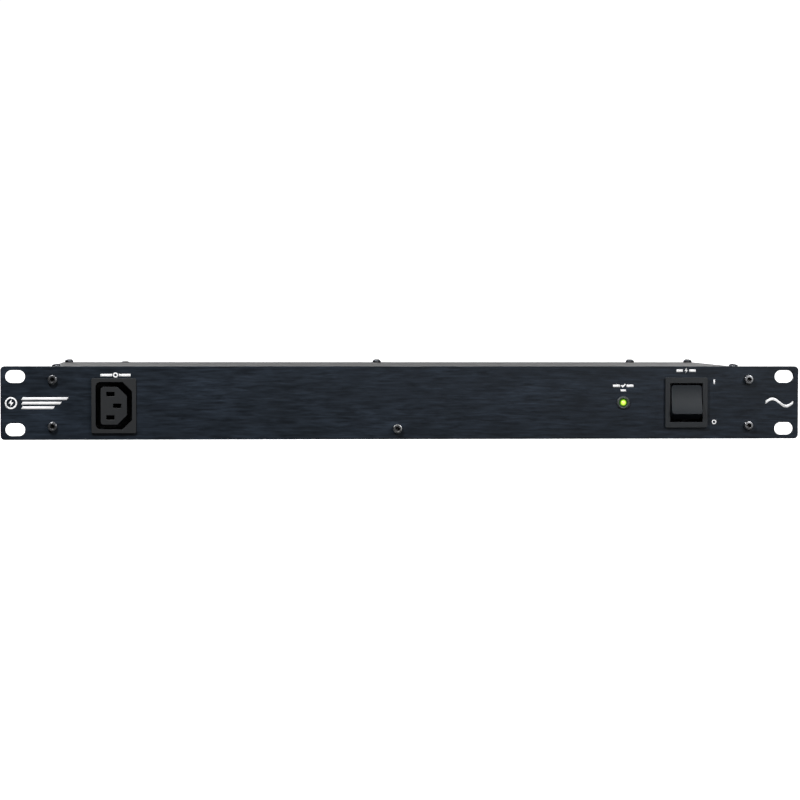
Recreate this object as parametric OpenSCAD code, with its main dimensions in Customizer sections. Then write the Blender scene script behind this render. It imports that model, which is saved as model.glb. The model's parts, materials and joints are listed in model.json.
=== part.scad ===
// Rack power strip, one rack unit high: a brushed front panel with one outlet, a status lamp and a
// rocker switch, on a folded steel chassis with ten outlets, an inlet and a breaker at the back.
// X runs to the right, Y runs from the front into the rack, Z runs up. The origin is the centre of
// the front panel's rear face, which is the face that bears on the rack rails.

/* [Front panel] */
// Width of the front panel
panel_w = 482.6; // [482:0.1:483]
// Height of the front panel
panel_h = 44; // [43.6:0.05:44.4]
// Thickness of the front panel
panel_t = 3.2; // [2:0.1:4]
// Corner radius of the front panel
panel_corner_r = 2.5; // [1:0.1:4]
// Distance between the left and right rack slots
slot_pitch_x = 465.1; // [464:0.1:466]
// Distance between the upper and lower rack slots
slot_pitch_z = 31.75; // [31.7:0.01:31.8]
// Length of a rack slot, end to end
slot_len = 11.8; // [9:0.1:12.4]
// Width of a rack slot
slot_w = 7.6; // [6:0.1:8]

/* [Chassis] */
// Width of the chassis over the lid
chassis_w = 431.8; // [430:0.1:433]
// Height of the chassis
chassis_h = 41.2; // [41:0.1:42]
// Depth of the chassis behind the front panel
chassis_d = 203; // [196:1:230]
// Thickness of the folded base and rear panel
sheet_t = 1.2; // [1:0.1:1.3]
// Thickness of the lid
lid_t = 1; // [0.8:0.1:1.2]
// Inside radius of the sheet metal's bends
bend_r = 0.6; // [0.4:0.1:1]
// Width of the base's inward flanges
flange_w = 10; // [9.5:0.1:12]
// Depth of the lid's side lips
lip_h = 6; // [4:0.5:10]
// Distance of the front pair of lid screws from the front panel
lid_screw_front_y = 42; // [30:1:60]

/* [Outlets] */
// Centre of the front outlet, left of the panel's centre
front_outlet_x = -174; // [-175:0.5:-165]
// Height of the front outlet's centre
front_outlet_z = -1.6; // [-2:0.1:0]
// Distance between neighbouring rear outlets
rear_outlet_pitch = 32; // [30:0.5:32]
// Centre of the first rear outlet
rear_outlet_first_x = 110; // [108:1:112]
// Extra distance between the two groups of five
rear_group_gap = 4; // [0:0.5:6]

/* [Switch and lamp] */
// Centre of the rocker switch
switch_x = 172; // [170:0.5:176]
// Width of the switch bezel
bezel_w = 26; // [25:0.1:27]
// Height of the switch bezel
bezel_h = 30.4; // [29.5:0.1:32]
// Total swing of the rocker, in degrees
rocker_swing = 27; // [22:1:27]
// Centre of the status lamp
lamp_x = 133.5; // [130:0.5:140]
// Diameter of the lamp's bezel
lamp_bezel_d = 8; // [7.5:0.1:9]

/* [Rear fittings] */
// Centre of the power inlet
inlet_x = 178; // [176:1:180]
// Centre of the breaker
breaker_x = 136; // [133:0.5:139]
// Travel of the breaker's reset button
reset_travel = 3; // [2:0.1:3]

/* [Filter board] */
// Centre of the filter board, across the chassis
board_x = 92; // [90:1:95]
// Centre of the filter board, front to back
board_y = 96; // [94:1:98]
// Width of the filter board
board_w = 130; // [128:1:132]
// Depth of the filter board
board_d = 84; // [82:1:86]

/* [Hidden] */
$fn = 48;

// Derived planes and edges.
front_y = -panel_t;
chassis_top = chassis_h / 2;
base_bottom = -chassis_h / 2;
floor_z = base_bottom + sheet_t;
base_top = chassis_top - lid_t;
flange_z = base_top - sheet_t;
fit_gap = 0.1;
base_half_w = chassis_w / 2 - lid_t - fit_gap;
inner_half_w = base_half_w - sheet_t;
flange_edge = base_half_w - flange_w;
side_screw_x = inner_half_w - 3.2;
side_screw_z = 14;
lower_screw_place = [-4, -15.7];
lid_screw_rear_y = chassis_d - 8;
lid_rear_screws_x = [-3, 170.5];
low_head_screw_x = -172.8;

// Fasteners, all M3.
screw_r = 1.5;
screw_hole_r = 1.7;
cap_head_r = 2.75;
cap_head_h = 3;
hex_key = 2.5;
pan_head_r = 2.9;
pan_head_h = 2.2;
low_head_r = 2.7;
low_head_h = 0.8;
panel_screw_l = 8;
chassis_screw_l = 4.8;
nut_r = 3;
nut_h = 1.7;
nut_bore_r = 1.56;
hex_nut_af = 5.5;
hex_nut_h = 2.4;

// Appliance outlet, seen upright with its earth contact to the right.
outlet_flange = [26.6, 32.8];
outlet_flange_t = 2;
outlet_body = [24.6, 31];
outlet_body_d = 20;
outlet_well = [21.6, 28.4];
outlet_island = [15.6, 22.6];
outlet_well_d = 17;
outlet_slot = [4.8, 2.6];
outlet_key_cut = 5.6;
outlet_corner_r = 0.8;
outlet_well_r = 3;
outlet_island_r = 1.8;
latch_w = 8;
pin_pitch = 14;
earth_offset = 4;
cutout_gap = 0.2;
contact_w = 4.4;
contact_leaf = 0.4;
tab_end_y = 26;
rear_outlets = 10;
outlets_per_group = 5;
// Places of the live, neutral and earth contacts on the outlet's face.
contact_places = [
    [-earth_offset / 2, pin_pitch / 2],
    [-earth_offset / 2, -pin_pitch / 2],
    [earth_offset / 2, 0]
];

// Rocker switch.
bezel_t = 2;
well_w = 19.8;
well_h = 23.6;
switch_body = [22, 27];
switch_body_d = 20;
switch_floor = 18.5;
rocker_pivot_y = 4;
rocker_w = 18.6;
rocker_face_y = -8.32;
rocker_face_half = 8.9;
rocker_dish = 1;
rocker_wall = 1.4;
pivot_r = 1.6;
pivot_hole_r = 1.66;
boss_reach = switch_body[0] / 2 - 0.1;
pole_x = 5.2;
plunger_r = 1.3;
barrel_bore_r = 1.4;
barrel_r = 2.4;
lever_w = 4;
lever_t = 0.8;
lever_pivot_y = 14.3;
lever_knuckle_r = 0.25;
lever_swing = 12;
contact_z = 6.3;
switch_tab_end = 28;

// Breaker.
bushing_r = 5.4;
button_r = 3.2;
button_bore_r = 3.27;
breaker_body_r = 7.4;
breaker_well_r = 5.6;
breaker_tab_x = 3.4;
breaker_tab_end = 37;

// Filter board.
board_t = 1.6;
standoff_h = 6;
board_top = floor_z + standoff_h + board_t;
standoff_inset = 5;
choke_place = [board_x + 12, board_y + 12];
choke_ring_r = 11;
choke_core_r = 5;
choke_turn_r = 5.6;
choke_wire_r = 0.45;
choke_z = board_top + choke_turn_r + choke_wire_r;

// Wiring.
wire_r = 1.4;
lead_r = 0.6;
wire_gap = 0.2;
bar_t = 1;
board_tab_h = 9;
sleeve_size = [7, 4.2];
sleeve_cover = 5;
sleeve_reach = 6;
earth_stud_place = [196, 128];
stud_r = 2;
ring_t = 0.8;
ring_z = [5.1, 6];
ring_reach = 11;

// ---------------------------------------------------------------- functions

function rear_outlet_name(i) = str("rear_outlet_", i < 10 ? "0" : "", i);

// Centre of rear outlet i, counted from the inlet's side.
function rear_outlet_x(i) =
    rear_outlet_first_x - (i - 1) * rear_outlet_pitch - (i > outlets_per_group ? rear_group_gap : 0);

// Points of an arc about a centre.
function arc(centre, r, from, to, steps = 6) =
    [for (k = [0:steps]) let (a = from + (to - from) * k / steps) centre + r * [cos(a), sin(a)]];

function rounded_points(w, h, r) = concat(
    arc([w / 2 - r, h / 2 - r], r, 0, 90),
    arc([-w / 2 + r, h / 2 - r], r, 90, 180),
    arc([-w / 2 + r, -h / 2 + r], r, 180, 270),
    arc([w / 2 - r, -h / 2 + r], r, 270, 360)
);

// Outline of an appliance coupler: two round corners and two cut ones beside the earth contact.
function keyed_points(w, h, cut, r) = concat(
    arc([-w / 2 + r, h / 2 - r], r, 90, 180),
    arc([-w / 2 + r, -h / 2 + r], r, 180, 270),
    [[w / 2 - cut, -h / 2], [w / 2, -h / 2 + cut], [w / 2, h / 2 - cut], [w / 2 - cut, h / 2]]
);

function unit(v) = v / norm(v);

// A point of the smooth curve through p1 and p2, a share t of the way along.
function curve_point(p0, p1, p2, p3, t) =
    0.5 * (2 * p1 + (p2 - p0) * t + (2 * p0 - 5 * p1 + 4 * p2 - p3) * t * t
        + (3 * p1 - p0 - 3 * p2 + p3) * t * t * t);

// The smooth curve through a list of points, with some steps between each pair.
function smooth(p, steps) = let (n = len(p)) concat(
    [for (i = [0:n - 2]) for (k = [0:steps - 1])
        curve_point(p[max(i - 1, 0)], p[i], p[i + 1], p[min(i + 2, n - 1)], k / steps)],
    [p[n - 1]]
);

// A coil along Y, from y0 to y1.
function coil(r, y0, y1, turns, per_turn) = [
    for (k = [0:turns * per_turn])
        let (a = 360 * k / per_turn)
        [r * cos(a), y0 + (y1 - y0) * k / (turns * per_turn), r * sin(a)]
];

// Profile of the rocker about its pivot, as [y, z], with its face towards -y.
rocker_face_points = [
    for (k = [-6:6])
        let (s = k / 6)
        [rocker_face_y + rocker_dish * (1 - s * s), rocker_face_half * s]
];
rocker_profile = concat(
    rocker_face_points,
    [[-1, 10.9], [0.5, 10.5], [2.8, 3.2], [2.8, -3.2], [0.5, -10.5], [-1, -10.9]]
);
rocker_hollow = concat(
    [for (p = rocker_face_points) [p[0] + rocker_wall, p[1] * 0.9]],
    [[0, 9.4], [3, 9.4], [3, -9.4], [0, -9.4]]
);

// Profile of a contact lever about its pivot, as [y, z]: a shallow valley and two flat arms.
lever_valley = 2.6;
lever_rise = lever_valley * tan(10);
lever_profile = [
    [0, 0], [-lever_rise, lever_valley], [-lever_rise, 7.4],
    [-lever_rise - lever_t, 7.4], [-lever_rise - lever_t, lever_valley], [-lever_t, 0],
    [-lever_rise - lever_t, -lever_valley], [-lever_rise - lever_t, -7.4],
    [-lever_rise, -7.4], [-lever_rise, -lever_valley]
];

// ---------------------------------------------------------------- helpers

// A flat shape drawn in X and Z, given a thickness from y0 towards +Y.
module upright(y0, t) {
    translate([0, y0 + t, 0]) rotate([90, 0, 0]) linear_extrude(t) children();
}

// A box between two corners.
module box(low, high) {
    translate(low) cube(high - low);
}

// A shape on both sides of the middle.
module both_sides() {
    children();
    mirror([1, 0, 0]) children();
}

// A cylinder along Y, from y0 to y1.
module rod_y(r, y0, y1) {
    translate([0, y0, 0]) rotate([-90, 0, 0]) cylinder(r = r, h = y1 - y0);
}

// A round piece turned about Y from points [radius, y].
module turned_y(points) {
    rotate([-90, 0, 0]) rotate_extrude() polygon(points);
}

// A profile drawn as [y, z], given a width along X about the middle.
module across(w) {
    rotate([90, 0, 90]) translate([0, 0, -w / 2]) linear_extrude(w) children();
}

// A fitting modelled facing -Y, put on the outside of the rear panel.
module on_rear(x, z = 0) {
    translate([x, chassis_d, z]) rotate([0, 0, 180]) children();
}

// A fitting modelled facing -Y, put on the outside of the front panel.
module on_front(x, z = 0) {
    translate([x, front_y, z]) children();
}

// A round tube swept along a list of points. The reference direction sets where its sides start.
module tube(path, r, sides = 8, reference = [0.31, 0.42, 0.85]) {
    n = len(path);
    tangents = [for (i = [0:n - 1]) unit(path[min(i + 1, n - 1)] - path[max(i - 1, 0)])];
    rings = [
        for (i = [0:n - 1])
            let (across_a = unit(cross(tangents[i], reference)), across_b = cross(tangents[i], across_a))
            for (k = [0:sides - 1])
                let (a = 360 * k / sides)
                path[i] + r * (cos(a) * across_a + sin(a) * across_b)
    ];
    walls = [
        for (i = [0:n - 2]) for (k = [0:sides - 1])
            let (a = i * sides + k, b = i * sides + (k + 1) % sides)
            each [[a, b + sides, b], [a, a + sides, b + sides]]
    ];
    caps = [[for (k = [0:sides - 1]) k], [for (k = [0:sides - 1]) n * sides - 1 - k]];
    polyhedron(rings, concat(walls, caps));
}

// ---------------------------------------------------------------- fasteners

// Socket cap screw: head towards -Y, bearing face at y = 0.
module cap_screw(shank) {
    difference() {
        union() {
            rod_y(cap_head_r, -cap_head_h, 0);
            rod_y(screw_r, -1, shank);
        }
        translate([0, -cap_head_h - 1, 0]) rotate([-90, 0, 0])
            cylinder(r = hex_key / 2 / cos(30), h = 2.6, $fn = 6);
    }
}

// Cross-recessed pan head screw: head towards +Z, bearing face at z = 0.
module pan_screw(shank, head_h = pan_head_h, head_r = pan_head_r) {
    difference() {
        union() {
            rotate_extrude() polygon([
                [0, 0], [head_r, 0], [head_r, head_h * 0.4], [head_r * 0.86, head_h * 0.78],
                [head_r * 0.6, head_h * 0.95], [0, head_h]
            ]);
            translate([0, 0, -shank]) cylinder(r = screw_r, h = shank + 0.1);
        }
        for (a = [0, 90]) rotate(a) translate([-head_r * 0.58, -0.4, head_h * 0.45])
            cube([head_r * 1.16, 0.8, head_h]);
    }
}

// Self-clinching nut, its seat at z = 0 and its barrel below.
module clinch_nut() {
    translate([0, 0, -nut_h]) difference() {
        cylinder(r = nut_r, h = nut_h);
        translate([0, 0, -1]) cylinder(r = nut_bore_r, h = nut_h + 2);
    }
}

// Places of the lid's screws.
module at_lid_corners() {
    for (sx = [-1, 1]) for (y = [lid_screw_front_y, lid_screw_rear_y])
        translate([sx * side_screw_x, y, 0]) children();
}
module at_lid_rear() {
    for (x = lid_rear_screws_x) translate([x, lid_screw_rear_y, 0]) children();
}
module at_low_head() {
    translate([low_head_screw_x, lid_screw_rear_y, 0]) children();
}

// Places of the screws at the ends of the front or rear panel.
module at_panel_ends() {
    for (sx = [-1, 1]) for (sz = [-1, 1])
        translate([sx * side_screw_x, 0, sz * side_screw_z]) children();
}

// Place of the screw at the panel's lower edge.
module at_lower_screw() {
    translate([lower_screw_place[0], 0, lower_screw_place[1]]) children();
}

module panel_side_screws() {
    color("dimgray") at_panel_ends() translate([0, front_y, 0]) cap_screw(panel_screw_l);
}

module panel_lower_screw() {
    color("silver") at_lower_screw() translate([0, front_y, 0]) cap_screw(panel_screw_l);
}

// The same pan head screw holds the lid and the rear panel.
module chassis_screws() {
    color("dimgray") {
        translate([0, 0, chassis_top]) {
            at_lid_corners() pan_screw(chassis_screw_l);
            at_lid_rear() pan_screw(chassis_screw_l);
        }
        at_panel_ends() translate([0, chassis_d, 0]) rotate([-90, 0, 0]) pan_screw(chassis_screw_l);
    }
}

module cover_low_head_screw() {
    color("dimgray") translate([0, 0, chassis_top]) at_low_head()
        pan_screw(chassis_screw_l, low_head_h, low_head_r);
}

module clinch_nuts() {
    color("silver") {
        at_panel_ends() translate([0, sheet_t, 0]) rotate([90, 0, 0]) clinch_nut();
        at_lower_screw() translate([0, sheet_t, 0]) rotate([90, 0, 0]) clinch_nut();
        at_panel_ends() translate([0, chassis_d - 2 * sheet_t, 0]) rotate([-90, 0, 0]) clinch_nut();
        translate([0, 0, flange_z]) {
            at_lid_corners() clinch_nut();
            at_lid_rear() clinch_nut();
            at_low_head() clinch_nut();
        }
    }
}

// ---------------------------------------------------------------- front panel

module rack_slot() {
    straight = slot_len - slot_w;
    for (sx = [-1, 1]) translate([sx * straight / 2, 0, 0]) rod_y(slot_w / 2, front_y - 1, 1);
    box([-straight / 2, front_y - 1, -slot_w / 2], [straight / 2, 1, slot_w / 2]);
}

module front_panel() {
    color([0.12, 0.14, 0.17]) difference() {
        upright(front_y, panel_t) polygon(rounded_points(panel_w, panel_h, panel_corner_r));
        for (sx = [-1, 1]) for (sz = [-1, 1])
            translate([sx * slot_pitch_x / 2, 0, sz * slot_pitch_z / 2]) rack_slot();
        at_panel_ends() rod_y(screw_hole_r, front_y - 1, 1);
        at_lower_screw() rod_y(screw_hole_r, front_y - 1, 1);
        outlet_cutout(front_outlet_x, front_outlet_z, front_y - 1, 1);
        box([switch_x - switch_body[0] / 2 - cutout_gap, front_y - 1, -switch_body[1] / 2 - cutout_gap],
            [switch_x + switch_body[0] / 2 + cutout_gap, 1, switch_body[1] / 2 + cutout_gap]);
        translate([lamp_x, 0, 0]) rod_y(lamp_sleeve_r + 0.05, front_y - 1, 1);
    }
}

module outlet_cutout(x, z, y0, y1) {
    box([x - outlet_body[0] / 2 - cutout_gap, y0, z - outlet_body[1] / 2 - cutout_gap],
        [x + outlet_body[0] / 2 + cutout_gap, y1, z + outlet_body[1] / 2 + cutout_gap]);
}

// Printed marks: plain symbols only.
ink_t = 0.08;

module bar(x0, z0, w, h) {
    translate([x0 - w / 2, z0 - h / 2]) square([w, h]);
}

module ring(r, w) {
    difference() {
        circle(r, $fn = 32);
        circle(r - w, $fn = 32);
    }
}

// A legend: a small symbol between two broad bars.
legend_bar_h = 1.5;
legend_gap = 4;

module ruled_legend(x, z, w) {
    bar_w = (w - legend_gap) / 2;
    translate([x, z]) {
        for (s = [-1, 1]) bar(s * (legend_gap + bar_w) / 2, 0, bar_w, legend_bar_h);
        children();
    }
}

// Lightning bolt, about as high as its size.
module bolt_symbol(size) {
    polygon(size * [[0.1, 0.5], [-0.3, -0.06], [-0.02, -0.06], [-0.1, -0.5], [0.3, 0.1], [0.02, 0.1]]);
}

// Three slanted bars of falling length beside a bolt in a ring.
module maker_mark() {
    translate([-235, 0]) ring(3.6, 0.9);
    translate([-235, 0]) bolt_symbol(4.8);
    for (k = [0:2]) translate([-229, 2.7 * (1 - k)])
        polygon([[0, -0.8], [27 - 4 * k, -0.8], [28 - 4 * k, 0.8], [1, 0.8]]);
}

// One period of a sine wave, drawn with even thickness.
module wave_mark() {
    half_t = 0.85;
    wave_w = 17;
    wave_h = 2.2;
    function point(k, side) = [(k / 24 - 0.5) * wave_w, wave_h * sin(15 * k) + side * half_t];
    top = [for (k = [0:24]) point(k, 1)];
    low = [for (k = [24:-1:0]) point(k, -1)];
    translate([229.6, 0]) polygon(concat(top, low));
}

module tick_symbol() {
    polygon([[-1.5, 0], [-0.9, 0.6], [-0.3, 0], [1, 1.3], [1.6, 0.7], [-0.3, -1.2]]);
}

module panel_legend() {
    color("white") upright(front_y - ink_t, ink_t) {
        maker_mark();
        wave_mark();
        ruled_legend(front_outlet_x + 1, 16.7, 18) ring(1.5, 0.7);
        ruled_legend(lamp_x, 10.2, 12.6) tick_symbol();
        bar(lamp_x, 7.4, 3.4, 1.2);
        ruled_legend(switch_x, 19.4, 11.8) bolt_symbol(3.2);
        bar(switch_x + 17.4, 12.6, 0.9, 2.8);
        translate([switch_x + 17.4, -11.8]) ring(1.4, 0.6);
    }
}

// ---------------------------------------------------------------- chassis

// Everything inside the base's folded outline, less a margin all round.
module base_outline(margin) {
    corner_r = bend_r + sheet_t - margin;
    translate([0, (base_top + base_bottom) / 2])
        polygon(rounded_points(2 * (base_half_w - margin), base_top - base_bottom - 2 * margin, corner_r));
}

// A tray with inward flanges along its top, and with tabs across its front and rear.
module chassis_base() {
    end_y = chassis_d - sheet_t;
    tab_half_w = 8;
    tab_h = 6;
    color([0.13, 0.13, 0.14]) difference() {
        union() {
            difference() {
                upright(0, chassis_d) base_outline(0);
                upright(sheet_t, end_y - 2 * sheet_t) base_outline(sheet_t);
                box([-flange_edge, -1, floor_z], [flange_edge, chassis_d + 1, base_top + 1]);
                box([-inner_half_w, end_y, floor_z], [inner_half_w, chassis_d + 1, base_top + 1]);
            }
            at_lower_screw()
                box([-tab_half_w, 0, floor_z - lower_screw_place[1] - 0.1], [tab_half_w, sheet_t, tab_h]);
        }
        at_panel_ends() rod_y(screw_hole_r, -1, chassis_d + 1);
        at_lower_screw() rod_y(screw_hole_r, -1, sheet_t + 1);
        translate([0, 0, flange_z - 1]) at_lid_corners() cylinder(r = screw_hole_r, h = 4);
    }
}

module rear_panel() {
    half_w = inner_half_w - fit_gap;
    inside_y = chassis_d - sheet_t;
    color([0.13, 0.13, 0.14]) difference() {
        union() {
            box([-half_w, inside_y, floor_z], [half_w, chassis_d, base_top]);
            box([fit_gap - flange_edge, chassis_d - 14, flange_z],
                [flange_edge - fit_gap, chassis_d, base_top]);
        }
        for (i = [1:rear_outlets]) outlet_cutout(rear_outlet_x(i), 0, inside_y - 1, chassis_d + 1);
        box([inlet_x - 14, inside_y - 1, -10.2], [inlet_x + 14, chassis_d + 1, 10.2]);
        for (sx = [-1, 1]) translate([inlet_x + sx * inlet_screw_x, 0, 0])
            rod_y(screw_hole_r, inside_y - 1, chassis_d + 1);
        translate([breaker_x, 0, 0]) rod_y(bushing_r + cutout_gap, inside_y - 1, chassis_d + 1);
        at_panel_ends() rod_y(screw_hole_r, inside_y - 1, chassis_d + 1);
        translate([0, 0, flange_z - 1]) at_lid_rear() cylinder(r = screw_hole_r, h = 4);
        translate([0, 0, flange_z - 1]) at_low_head() cylinder(r = screw_hole_r, h = 4);
    }
}

// Everything under the lid's folded outline, less a margin at its top and sides.
module lid_outline(margin) {
    low = base_top - lip_h;
    corner_r = bend_r + lid_t - margin;
    half_w = chassis_w / 2 - margin;
    top = chassis_top - margin;
    polygon(concat(
        [[half_w, low - margin]],
        arc([half_w - corner_r, top - corner_r], corner_r, 0, 90),
        arc([corner_r - half_w, top - corner_r], corner_r, 90, 180),
        [[-half_w, low - margin]]
    ));
}

module top_cover() {
    color([0.13, 0.13, 0.14]) difference() {
        upright(fit_gap, chassis_d - fit_gap) lid_outline(0);
        upright(0, chassis_d + 1) lid_outline(lid_t);
        translate([0, 0, base_top - 1]) {
            at_lid_corners() cylinder(r = screw_hole_r, h = 4);
            at_lid_rear() cylinder(r = screw_hole_r, h = 4);
            at_low_head() cylinder(r = screw_hole_r, h = 4);
        }
    }
}

// ---------------------------------------------------------------- outlets

// Outlet housing facing -Y, with its flange on the panel's face at y = 0.
module outlet_housing(wall_t) {
    half = outlet_body / 2;
    color([0.18, 0.18, 0.2]) difference() {
        union() {
            upright(-outlet_flange_t, outlet_flange_t)
                polygon(rounded_points(outlet_flange[0], outlet_flange[1], outlet_corner_r));
            box([-half[0], -0.5, -half[1]], [half[0], outlet_body_d, half[1]]);
            both_sides() translate([half[0], wall_t + 0.1, 0]) latch(latch_w);
        }
        upright(-outlet_flange_t - 1, outlet_well_d + outlet_flange_t + 1) difference() {
            polygon(keyed_points(outlet_well[0], outlet_well[1], outlet_key_cut, outlet_well_r));
            polygon(keyed_points(outlet_island[0], outlet_island[1], outlet_key_cut, outlet_island_r));
        }
        for (p = contact_places) translate([p[0], 0, p[1]])
            box([-outlet_slot[0] / 2, -outlet_flange_t - 1, -outlet_slot[1] / 2],
                [outlet_slot[0] / 2, outlet_body_d + 1, outlet_slot[1] / 2]);
    }
}

// Snap latch on a side wall: highest just behind the panel and falling away to the rear.
module latch(width) {
    translate([0, 0, -width / 2]) linear_extrude(width)
        polygon([[-0.5, 0], [0.7, 0], [0.7, 1], [0, 6], [-0.5, 6]]);
}

// Spring contact with its tab, facing -Y, at the middle of its slot.
module contact() {
    mouth_y = 6;
    bridge_y = 16;
    bridge_t = 0.8;
    half = contact_w / 2;
    outer = contact_leaf * 3;
    for (s = [-1, 1]) translate([0, 0, s * (outer - contact_leaf / 2)])
        box([-half, mouth_y, -contact_leaf / 2], [half, bridge_y + bridge_t / 2, contact_leaf / 2]);
    box([-half, bridge_y, -outer], [half, bridge_y + bridge_t, outer]);
    box([-half, bridge_y + bridge_t / 2, -contact_leaf], [half, tab_end_y, contact_leaf]);
}

module front_outlet() {
    on_front(front_outlet_x, front_outlet_z) outlet_housing(panel_t);
}

module front_outlet_contacts() {
    color("goldenrod") on_front(front_outlet_x, front_outlet_z)
        for (p = contact_places) translate([p[0], 0, p[1]]) contact();
}

module rear_outlet(i) {
    on_rear(rear_outlet_x(i)) outlet_housing(sheet_t);
}

// The same contact of every rear outlet: 0 is live, 1 is neutral, 2 is earth.
module rear_contacts(which) {
    p = contact_places[which];
    color("goldenrod") for (i = [1:rear_outlets]) on_rear(rear_outlet_x(i))
        translate([p[0], 0, p[1]]) contact();
}

// A flat bar across the tabs of the same contact of every rear outlet.
module busbar(which) {
    p = contact_places[which];
    bar_y = chassis_d - tab_end_y;
    first = rear_outlet_x(1) - p[0];
    last = rear_outlet_x(rear_outlets) - p[0];
    color("peru") box([last - 6, bar_y - bar_t, p[1] - 1.6], [first + 8, bar_y, p[1] + 1.6]);
}

// ---------------------------------------------------------------- inlet

inlet_flange = [50, 24];
inlet_flange_t = 2.2;
inlet_body = [19.8, 27.6];
inlet_well = [16.8, 24.6];
inlet_floor = 14.3;
inlet_body_d = 16.8;
inlet_tab_end = 24;
inlet_pin_z = -earth_offset / 2;
inlet_screw_x = 20;

module inlet_outline(size, cut, r) {
    rotate(90) polygon(keyed_points(size[0], size[1], cut, r));
}

module inlet_housing() {
    color([0.1, 0.1, 0.11]) on_rear(inlet_x) difference() {
        union() {
            upright(-inlet_flange_t, inlet_flange_t)
                polygon(rounded_points(inlet_flange[0], inlet_flange[1], 3));
            upright(-0.5, inlet_body_d + 0.5) inlet_outline(inlet_body, 5, 2);
        }
        upright(-inlet_flange_t - 1, inlet_floor + inlet_flange_t + 1) inlet_outline(inlet_well, 4.6, 1.2);
        for (sx = [-1, 1]) translate([sx * inlet_screw_x, 0, 0]) {
            mouth_y = -inlet_flange_t - 0.1;
            rod_y(screw_hole_r, mouth_y - 1, 1);
            turned_y([[0, mouth_y], [3.3, mouth_y], [screw_hole_r, -0.5], [0, -0.5]]);
        }
        at_inlet_pins() box([-1.05, inlet_floor - 1, -2.05], [1.05, inlet_body_d + 1, 2.05]);
    }
}

module at_inlet_pins() {
    for (x = [-pin_pitch / 2, pin_pitch / 2]) translate([x, 0, inlet_pin_z]) children();
    translate([0, 0, -inlet_pin_z]) children();
}

// One blade with a tapered tip in front and a solder tab behind.
module inlet_pin() {
    translate([0, 0, -2]) linear_extrude(4) polygon([
        [-0.5, -1.2], [0.5, -1.2], [1, 0.6], [1, inlet_body_d], [0.4, inlet_body_d],
        [0.4, inlet_tab_end], [-0.4, inlet_tab_end], [-0.4, inlet_body_d], [-1, inlet_body_d], [-1, 0.6]
    ]);
}

module inlet_pins() {
    color("silver") on_rear(inlet_x) at_inlet_pins() inlet_pin();
}

// Countersunk screws with their nuts.
module inlet_screws() {
    color("dimgray") on_rear(inlet_x) for (sx = [-1, 1]) translate([sx * inlet_screw_x, 0, 0]) {
        difference() {
            turned_y([[0, -2.2], [3.1, -2.2], [screw_r, -0.6], [screw_r, 7], [0, 7]]);
            for (a = [0, 90]) rotate([0, a, 0]) box([-1.6, -3, -0.35], [1.6, -1.3, 0.35]);
        }
        translate([0, sheet_t + 0.05, 0]) rotate([-90, 0, 0]) difference() {
            cylinder(r = hex_nut_af / 2 / cos(30), h = hex_nut_h, $fn = 6);
            translate([0, 0, -1]) cylinder(r = nut_bore_r, h = 5);
        }
    }
}

// ---------------------------------------------------------------- breaker

spring_seat_y = 16;
button_collar = [6.2, 7.6];

module breaker_body() {
    color([0.1, 0.1, 0.11]) on_rear(breaker_x) difference() {
        union() {
            rod_y(bushing_r, -5, sheet_t + 1);
            rod_y(breaker_body_r, sheet_t + 0.05, 30);
        }
        rod_y(button_bore_r, -6, 4);
        rod_y(breaker_well_r, 3, spring_seat_y);
        rod_y(1.2, spring_seat_y - 1, 19);
        rod_y(breaker_well_r, 18, 26);
        for (s = [-1, 1]) translate([s * breaker_tab_x, 0, 0]) box([-0.5, 25, -2.5], [0.5, 31, 2.5]);
    }
}

module breaker_nut() {
    nut_t = 2.4;
    across_flats = 14;
    corner_r = across_flats / 2 / cos(30);
    color("silver") on_rear(breaker_x) translate([0, -nut_t, 0]) rotate([-90, 0, 0]) difference() {
        intersection() {
            cylinder(r = corner_r, h = nut_t, $fn = 6);
            rotate_extrude() polygon([
                [0, 0], [corner_r - 1.1, 0], [corner_r + 0.1, 0.7], [corner_r + 0.1, nut_t], [0, nut_t]
            ]);
        }
        translate([0, 0, -1]) cylinder(r = bushing_r + 0.06, h = nut_t + 2);
    }
}

module breaker_button() {
    color("white") on_rear(breaker_x) turned_y([
        [0, -8.6], [2.6, -8.6], [button_r, -8.1], [button_r, button_collar[0]],
        [4.8, button_collar[0]], [4.8, button_collar[1]], [1, button_collar[1]], [1, 13], [0, 13]
    ]);
}

module breaker_spring() {
    color("silver") on_rear(breaker_x)
        tube(coil(3.4, button_collar[1] + 0.5, spring_seat_y - 0.5, 4, 12), 0.35, 6, [0, 1, 0.01]);
}

// Two tabs with fixed contacts, and the bimetal disc that bridges them.
module breaker_terminals() {
    color("goldenrod") on_rear(breaker_x) {
        for (s = [-1, 1]) translate([s * breaker_tab_x, 0, 0]) {
            box([-0.4, 21, -2.4], [0.4, breaker_tab_end, 2.4]);
            rod_y(1.2, 20.1, 21.2);
        }
        rod_y(4.8, 19.4, 19.8);
        for (s = [-1, 1]) translate([s * breaker_tab_x, 0, 0]) rod_y(1.1, 19.7, 20);
    }
}

// ---------------------------------------------------------------- switch

// The rocker and what rides on it are drawn about the pivot, then set to the ON position.
module rocker_pose() {
    on_front(switch_x) translate([0, rocker_pivot_y, 0]) rotate([-rocker_swing / 2, 0, 0]) children();
}

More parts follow.
